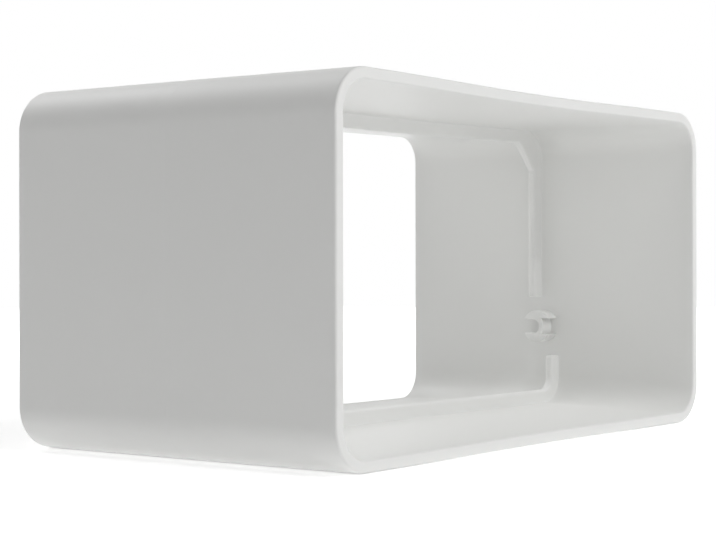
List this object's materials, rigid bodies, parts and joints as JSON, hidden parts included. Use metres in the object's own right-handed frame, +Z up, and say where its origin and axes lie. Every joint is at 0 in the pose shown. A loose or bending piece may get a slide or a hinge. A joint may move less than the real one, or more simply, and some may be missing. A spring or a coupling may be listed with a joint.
{
  "type": "flat duct connector",
  "caption": "Moulded white plastic sleeve that joins two flat rectangular ducts end to end, with an inner stop rib in two staggered halves and pivot sockets for a non-return flap.",
  "frame": {"origin": "on the duct's axis, halfway between the two mouths and halfway up", "axes": "+X across the width, +Y along the duct from the near mouth to the far one, +Z up, with the pivot sockets in the lower half"},
  "size_m": [0.114, 0.065, 0.0586],
  "materials": {
    "white_plastic": "smooth satin injection-moulded plastic, plain white"
  },
  "bodies": {
    "root": {"connector_body": "white_plastic"}
  },
  "joints": []
}
